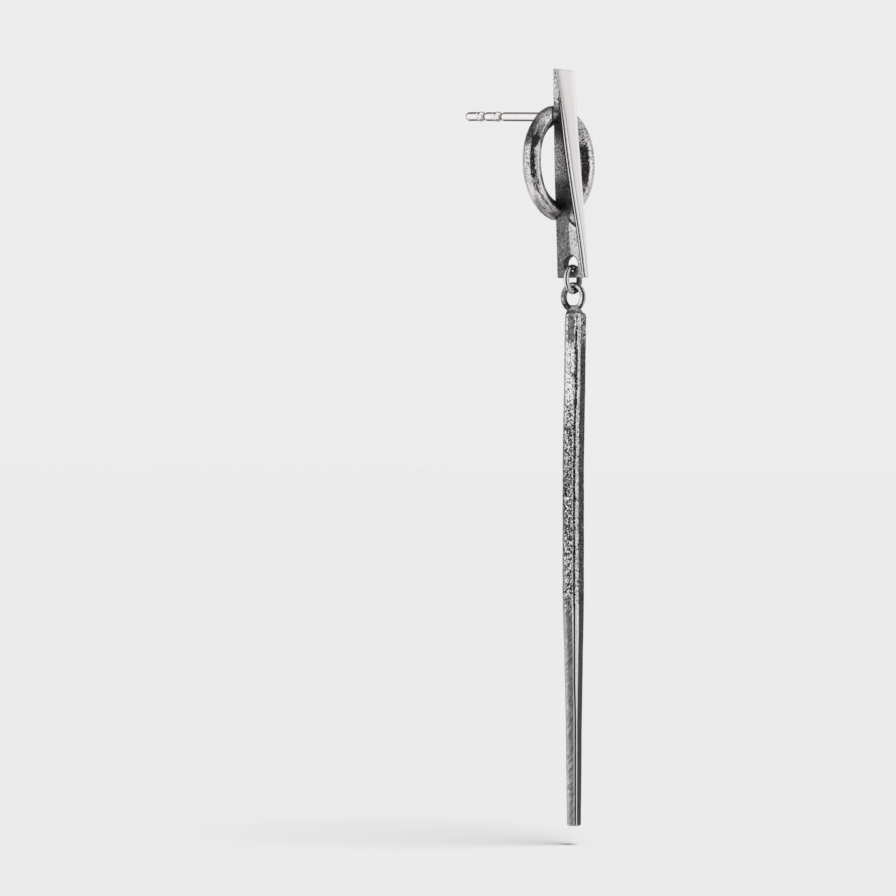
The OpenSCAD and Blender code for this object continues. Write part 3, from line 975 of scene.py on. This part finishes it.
# %% Relief of the bar
seam_deep, second_deep, hole_deep = 0.16, 0.04, 0.10
drawn = grid * (1, 1, 0.6)  # bark is a little longer than it is wide
fine, mid = clouds(drawn, 0.11, seed=31, layers=2), clouds(drawn, 0.3, seed=33)
holes = pits(drawn, 0.24, 0.09, seed=3) * smooth(0.42, 0.6, cloud(grid, 1.1, seed=37) + 0.12 * coarse_zone)
blots = pits(drawn, 0.6, 0.2, seed=8) * coarse_zone
rough = bark * (1 - 0.7 * front_face) * (1 - 0.95 * panel) * (0.55 + 0.45 * coarse_zone)
ridges = 0.08 * (fine - 0.55) + 0.05 * (mid - 0.55) * (0.3 + 0.7 * coarse_zone)
relief = rough * (ridges - hole_deep * np.maximum(holes, blots))
push = (relief + 0.03 * (clouds(grid, 2.0, seed=40) - 0.5)) * side - seam_deep * seam - second_deep * second
bar_grid = grid + out * push[..., None]
print("the bark is", round(float((relief * side).max() - (relief * side).min()), 2), "mm deep")

# %% [markdown]
# The cloth polished what stood up and left the rest, so the same clouds that raised the bark also
# say how bright it is. It is worked out in steps, each laid over the last: bark and filed foot
# first, then the dark front, then the seam with its bright lips, and at the end the smooth panel
# with the strip along its edge.

# %% Brightness of the bar
# how bright the bark is at each height, from the foot up
BARK_BRIGHT = [(bar_foot, 0.5), (bark_end, 0.5), (net_end - 2, 0.28), (net_end, 0.23)]
BARK_BRIGHT = BARK_BRIGHT + [(fade_foot, 0.31), (fade_top, 0.91), (bar_top, 0.92)]

speckle = 0.7 * (fine - 0.5) + 0.35 * (mid - 0.5) * (0.4 + 0.6 * coarse_zone + 1.2 * wide) - 0.6 * blots
from_left = middle + half - bevel - y  # 0 at the left edge of the left face
bark_bright = follow(z, BARK_BRIGHT) + speckle + 0.1 * corner - 0.9 * holes
bark_bright = bark_bright + 0.22 * flank * smooth(0.5, 0.1, from_left)
filed_bright = 0.49 + 0.25 * corner + 0.22 * flank * smooth(0.45, 0.0, from_left)
dark_band = bump(from_left / (2 * (half - bevel)) - 0.68, 0.32) * smooth(bar_foot + 4, bark_end - 4, z)
filed_bright = filed_bright - (0.08 + 0.11 * dark_band) * flank
bright = bark_bright * bark + filed_bright * (1 - bark)

front_bright = 0.19 + 0.35 * (fine - 0.5) * bark + smooth(3.8, 2.2, below) * (0.24 + 1.3 * (fine - 0.5))
on_front = np.maximum(front_face, smooth(-0.28, -0.34, across) * is_front_corner * smooth(3, 4, below))
bright = bright * (1 - on_front) + front_bright * on_front

lips = bump(np.abs(across + wander) - 1.7 * seam_width, 0.07) * is_front_corner
lips = lips * (1 + 0.5 * smooth(9, 12, below))
right_strip = smooth(-0.02, -0.1, across + wander) * smooth(-0.34, -0.27, across) * is_front_corner
strip_pits = pits(grid, 0.35, 0.11, seed=18) * right_strip * bark
bright = bright + 0.62 * lips + 0.75 * right_strip * (1 - 0.2 * bark)
bright = bright - 1.3 * strip_pits - 1.5 * seam - 0.5 * second

left_strip = flank * smooth(0.2, 0.12, from_left + 0.15 * (fine - 0.5))
panel = panel * (1 - left_strip)
bright = bright * (1 - panel) + (0.355 + 0.3 * (fine - 0.5)) * panel
strip_specks = pits(grid, 0.3, 0.12, seed=17) * left_strip
bright = bright + (0.3 * left_strip - 1.2 * strip_specks) * smooth(panel_end - 1, panel_end, z)
bright = bright + 0.5 * smooth(0.02, 0.3, rim) * smooth(1, 0.9, rim)
print("half of the bar is brighter than", round(float(np.median(bright)), 2))

# %% [markdown]
# The grain of the material follows the same zones: coarse on the bark, calm on the panel and on the
# front face, drawn out into slanting file marks on the foot.

# %% The bar
coarse = bark * (1.0 - 0.75 * on_front) * (1 - 0.78 * panel) * (1 - 0.45 * right_strip) * (1 - 0.25 * wide)
coarse = coarse + 0.2 * (1 - bark) * (1 - 0.6 * on_front)
hollow = bark * (0.4 + 0.2 * coarse_zone) * (1 - on_front) * (1 - 0.8 * panel) * (1 - seam)
bar = skin("bar", bar_grid, bright=bright, coarse=coarse, hollow=hollow, filed=1 - bark)
filed_silver = silver("filed_silver", grain=0.15, dent=0.015, stretch=(1, 1.7, 0.22), tilt=-0.6)
dress(bar, filed_silver, "drop")
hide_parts("drop_bar")

# %% [markdown]
# Solder spreads from the eye over the top of the bar. It is a short stack of rounded outlines,
# square where it meets the bar and long and thin where it hugs the wire.

# %% Solder under the eye
def pad_outline(power, columns=72):
    """A rounded box outline, 1 in half width: each coordinate is the sign of its sine or cosine
    times its size to the power 2/n, which is a superellipse."""
    a = np.linspace(0, 2 * np.pi, columns, endpoint=False)
    way = np.stack([np.cos(a), np.sin(a)], axis=-1)
    return np.sign(way) * np.abs(way) ** (2 / power)


pad_foot, pad_top = bar_top - 0.1, bar_top + 0.75
t = np.linspace(0, 1, 30)
fall = 1 - smooth(0, 0.7, t)
outline = pad_outline(2.3)
half_x, half_y = 0.3 + 0.42 * fall**1.5, 0.78 + 0.1 * fall**2
closing = np.sqrt(np.clip(1 - np.clip((t - 0.6) / 0.4, 0, 1) ** 2, 0.0, 1))
pad = outline[None] * np.stack([half_x * closing, half_y * (0.6 + 0.4 * closing)], axis=-1)[:, None]
tall = np.broadcast_to((pad_foot + (pad_top - pad_foot) * t)[:, None], pad.shape[:2])
grid = np.dstack([pad[..., 0], pad[..., 1] + hole_y - 0.14, tall])
grid[..., :2] += 0.05 * (clouds(grid, 0.4, seed=51)[..., None] - 0.5)
pad_bright = 0.5 + 0.6 * (clouds(grid, 0.4, seed=52) - 0.5) - 0.3 * smooth(0.3, 0.1, t)[:, None]
eye_solder = skin("eye_solder", grid, bright=pad_bright)
dress(eye_solder, satin, "drop")

# %% [markdown]
# The studio: a pale floor just below the bar's foot, and a level camera at half the earring's
# height with a long lens. So the stud is seen a little from below and the bar's foot a little from
# above. The lens is worked out so that a millimetre at the earring is ten pixels wide.

# %% Camera
photo_side, px_per_mm = 896, 10.0
post_row, back_column = 116.4, 561.5  # pixels: the post's axis, and the wedge's back line
view_turn = math.radians(-56)
camera_far, sensor = 430.0, 36.0
to_right = np.array([math.cos(view_turn), math.sin(view_turn), 0])
wedge_line = wedge_back - wedge_lean + 0.04  # the wedge's back, near its top
aim = np.array([0, wedge_line, (post_row - photo_side / 2) / px_per_mm])
aim = aim + to_right * (photo_side / 2 - back_column) / px_per_mm
to_camera = np.array([math.sin(view_turn), -math.cos(view_turn), 0])
camera = add("camera", bpy.data.cameras.new("camera"))
bpy.context.scene.camera = camera
camera.data.sensor_width = sensor
camera.data.lens = sensor * camera_far / (photo_side / px_per_mm)
camera.data.clip_start, camera.data.clip_end = 0.1, 20
camera.location = (aim + to_camera * camera_far) * MM
camera.rotation_euler = (math.pi / 2, 0, view_turn)
print("the lens is", round(camera.data.lens), "mm")

# %% [markdown]
# The floor is just so grey that the sun and the tent bring it to the brightness of the background,
# which keeps its far edge from showing. Only a faint shadow falls on it. It is a stage piece, so it
# isn't kept with the earring, and the silver doesn't mirror it.

# %% Floor
floor_drop, floor_half = 1.9, 6.0  # below the bar's foot in millimetres, and half its side in metres
floor_z = (bar_foot - floor_drop) * MM
paper_grey = (0.339, 0.339, 0.339, 1)
floor_mesh = bpy.data.meshes.new("floor")
floor_corners = [(-1, -1), (1, -1), (1, 1), (-1, 1)]
floor_points = [(floor_half * x, floor_half * y, floor_z) for x, y in floor_corners]
floor_mesh.from_pydata(floor_points, [], [(0, 1, 2, 3)])
floor = add("floor", floor_mesh)
floor.visible_glossy = False
paper = bpy.data.materials.new("paper")
paper.use_nodes = True
paper_shader = paper.node_tree.nodes["Principled BSDF"]
paper_shader.inputs["Base Color"].default_value = paper_grey
paper_shader.inputs["Roughness"].default_value = 1.0
paper_shader.inputs["Specular IOR Level"].default_value = 0.0
floor_mesh.materials.append(paper)
print("the floor lies", round(-floor_z / MM, 1), "mm below the post")

# %% [markdown]
# Silver shows what stands round it, so the studio's walls matter more than any lamp. A white tent
# stands all round. It is drawn into the world as a ramp over the compass, with two narrow dark
# gaps in it, one beside the camera and one in front of the earring's face. A dark ring round the
# background draws thin dark outlines on the bar and the links. Two more dark cards, high and low
# behind the earring, draw the dark lines along the post. The camera itself sees one even grey.

# %% The tent
BACKGROUND = 0.84
# the walls' brightness at a compass angle in degrees
TENT = [
    (-180, 0.6), (-150, 0.86), (-115, 1.0), (-62, 0.75), (-56, 0.6), (-53, 0.06), (-44, 0.06), (-37, 1.0),
    (0, 0.88), (4, 0.12), (14, 0.12), (19, 0.7), (41, 0.33), (50, 0.62), (56, 0.74), (62, 0.83), (69, 0.94),
    (76, 0.98), (150, 0.9), (180, 0.6),
]
world = bpy.data.worlds.new("tent")
bpy.context.scene.world = world
world.use_nodes = True
start = Wire(world.node_tree)
look = start.node("ShaderNodeTexCoord", output="Generated")
east, north, up = (look.node("ShaderNodeSeparateXYZ", values={0: look}, output=axis) for axis in "XYZ")


def facing(way):
    """How far the line of sight points along a way: the cosine of the angle between them."""
    settings = {"operation": "DOT_PRODUCT"}
    return look.node("ShaderNodeVectorMath", settings, {0: look, 1: tuple(way)}, output="Value")


compass = east.math("ARCTAN2", north * -1.0) * (1 / (2 * math.pi)) + 0.5
stops = [((degrees + 180) / 360, grey) for degrees, grey in TENT]
walls = compass.node("ShaderNodeValToRGB", {"stops": stops}, {0: compass})
height = up.math("ABSOLUTE")
along, leftward = facing(-to_camera), facing(-to_right)
under = (up * -1.0).between(0.78, 0.92)  # the dull table straight below
lifted = up.between(0.2, 0.5) + under  # the dark ring is wider above and below
cards = height.between(0.64, 0.76) * north.between(0.46, 0.54) * north.between(0.7, 0.6)
dark_ring = (along + lifted * 0.3 + cards * 0.45).between(0.62, 0.76)
dark_ring = dark_ring * (1 - along.between(0.93, 0.97))
level_left = leftward.between(0.1, 0.3) * (1 - height.between(0.1, 0.3))  # there it is fainter
dark_ring = dark_ring * (0.88 - level_left * 0.48)
lid = height.between(0.55, 0.9)  # the tent closes overhead and underfoot
tent = walls * (1 - lid) + lid * 0.9
tent = tent * (1 - dark_ring) * (1 - under * 0.7)
is_camera = start.node("ShaderNodeLightPath", output="Is Camera Ray")
level = tent * (1 - is_camera) + is_camera * BACKGROUND
surface = world.node_tree.nodes["Background"]
world.node_tree.links.new(level.socket, surface.inputs["Color"])
surface.inputs["Strength"].default_value = 1.0
bpy.context.scene.view_settings.view_transform = "Standard"
print("the tent's walls have", len(TENT), "stops")

# %% [markdown]
# One sun, from high up on the right, casts the faint shadow. The silver doesn't mirror it, because
# behind the cloth of a tent a lamp has no outline.

# %% Sun
sun_turn, sun_rise = math.radians(-2), math.radians(74)
sun_power, sun_blur = 5.95, math.radians(28)
sun = add("sun", bpy.data.lights.new("sun", "SUN"))
sun.data.energy, sun.data.angle = sun_power, sun_blur
sun.visible_glossy = False
sun.rotation_euler = (math.pi / 2 - sun_rise, 0, sun_turn)
print("sun", round(math.degrees(sun_rise)), "degrees up")
